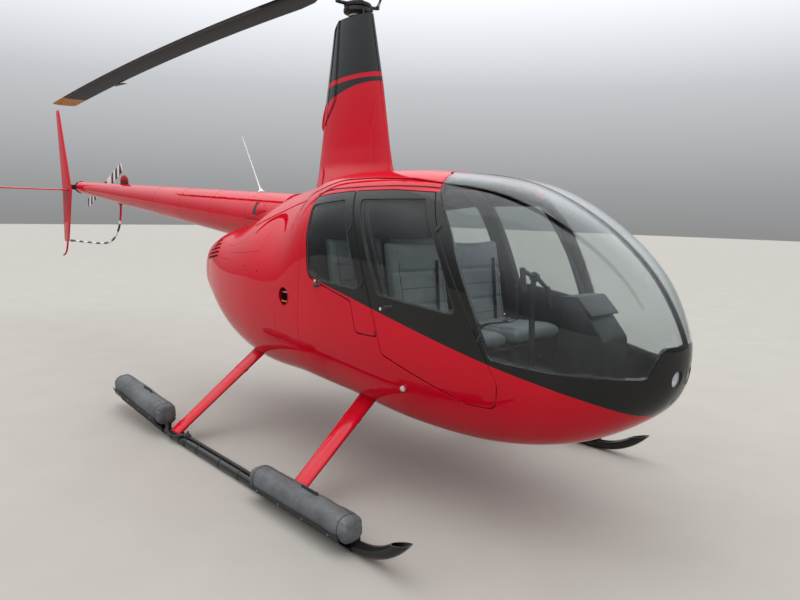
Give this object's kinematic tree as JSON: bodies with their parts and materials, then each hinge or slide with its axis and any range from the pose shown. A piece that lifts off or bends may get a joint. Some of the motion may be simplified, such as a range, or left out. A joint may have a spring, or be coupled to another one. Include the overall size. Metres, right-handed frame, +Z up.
{
  "type": "light four-seat piston helicopter",
  "caption": "Light helicopter with a teetering two-blade rotor, opening doors, glazed cabin and skids that carry packed float bags.",
  "frame": {"origin": "on the ground, under the middle of the overall length with the blades fore and aft", "axes": "+X to the nose, +Y to port, +Z up"},
  "size_m": [11.6306, 2.404, 3.26],
  "materials": {
    "red_paint": "glossy red paint",
    "black_paint": "satin black paint",
    "white_paint": "white paint",
    "dark_trim": "matte dark trim",
    "steel": "worn bare metal",
    "seat_leather": "grey leather",
    "grey_canvas": "coated grey fabric",
    "tinted_glass": "smoke-tinted acrylic",
    "lamp_lens": "clear lamp lens",
    "beacon_red": "clear red lens"
  },
  "bodies": {
    "airframe": {"cabin_shell": "red_paint", "roof_cowl": "red_paint", "engine_cowl": "red_paint", "mast_fairing": "red_paint", "cabin_floor": "dark_trim", "firewall": "dark_trim", "engine_block": "steel", "exhaust_pipe": "steel", "instrument_console": "dark_trim", "cyclic_stick": "dark_trim", "seat_front_left": "seat_leather", "seat_front_right": "seat_leather", "seat_rear_left": "seat_leather", "seat_rear_right": "seat_leather", "windshield_left": "tinted_glass", "windshield_right": "tinted_glass", "skid_left": "black_paint", "skid_right": "black_paint", "float_bag_front_left": "grey_canvas", "float_bag_front_right": "grey_canvas", "float_bag_rear_left": "grey_canvas", "float_bag_rear_right": "grey_canvas", "gear_front": "red_paint", "gear_rear": "red_paint", "tail_boom": "red_paint", "tail_gearbox": "black_paint", "vertical_fin": "red_paint", "stabiliser": "red_paint", "tail_guard": "white_paint", "antenna": "white_paint", "beacon": "beacon_red", "swashplate": "steel", "landing_light_left": "lamp_lens", "landing_light_right": "lamp_lens"},
    "main_rotor": {"rotor_hub": "black_paint", "main_blade_1": "black_paint", "main_blade_2": "black_paint"},
    "tail_rotor": {"tail_rotor_hub": "black_paint", "tail_blade_1": "white_paint", "tail_blade_2": "white_paint"},
    "front_left_door": {"door_front_left": "black_paint", "glass_front_left": "tinted_glass"},
    "front_right_door": {"door_front_right": "black_paint", "glass_front_right": "tinted_glass"},
    "rear_left_door": {"door_rear_left": "black_paint", "glass_rear_left": "tinted_glass"},
    "rear_right_door": {"door_rear_right": "black_paint", "glass_rear_right": "tinted_glass"}
  },
  "joints": [
    {"name": "main_rotor_spin", "type": "hinge", "parent": "airframe", "child": "main_rotor", "pos_m": [0.79838, 0, 3.2], "axis": [0, 0, 1], "continuous": true},
    {"name": "tail_rotor_spin", "type": "hinge", "parent": "airframe", "child": "tail_rotor", "pos_m": [-5.09462, 0.262, 1.888], "axis": [0, 1, 0], "continuous": true},
    {"name": "front_left_hinge", "type": "hinge", "parent": "airframe", "child": "front_left_door", "pos_m": [2.16138, 0.589, 1.52], "axis": [0.4765, 0, -0.8792], "range_deg": [0, 75]},
    {"name": "front_right_hinge", "type": "hinge", "parent": "airframe", "child": "front_right_door", "pos_m": [2.16138, -0.589, 1.52], "axis": [-0.4765, 0, 0.8792], "range_deg": [0, 75]},
    {"name": "rear_left_hinge", "type": "hinge", "parent": "airframe", "child": "rear_left_door", "pos_m": [1.58138, 0.648, 1.512], "axis": [0.372, 0.0488, -0.927], "range_deg": [0, 75]},
    {"name": "rear_right_hinge", "type": "hinge", "parent": "airframe", "child": "rear_right_door", "pos_m": [1.58138, -0.648, 1.512], "axis": [-0.372, 0.0488, 0.927], "range_deg": [0, 75]}
  ],
  "couplings": [
    {"joint": "tail_rotor_spin", "follows": "main_rotor_spin", "ratio": -5.949}
  ]
}
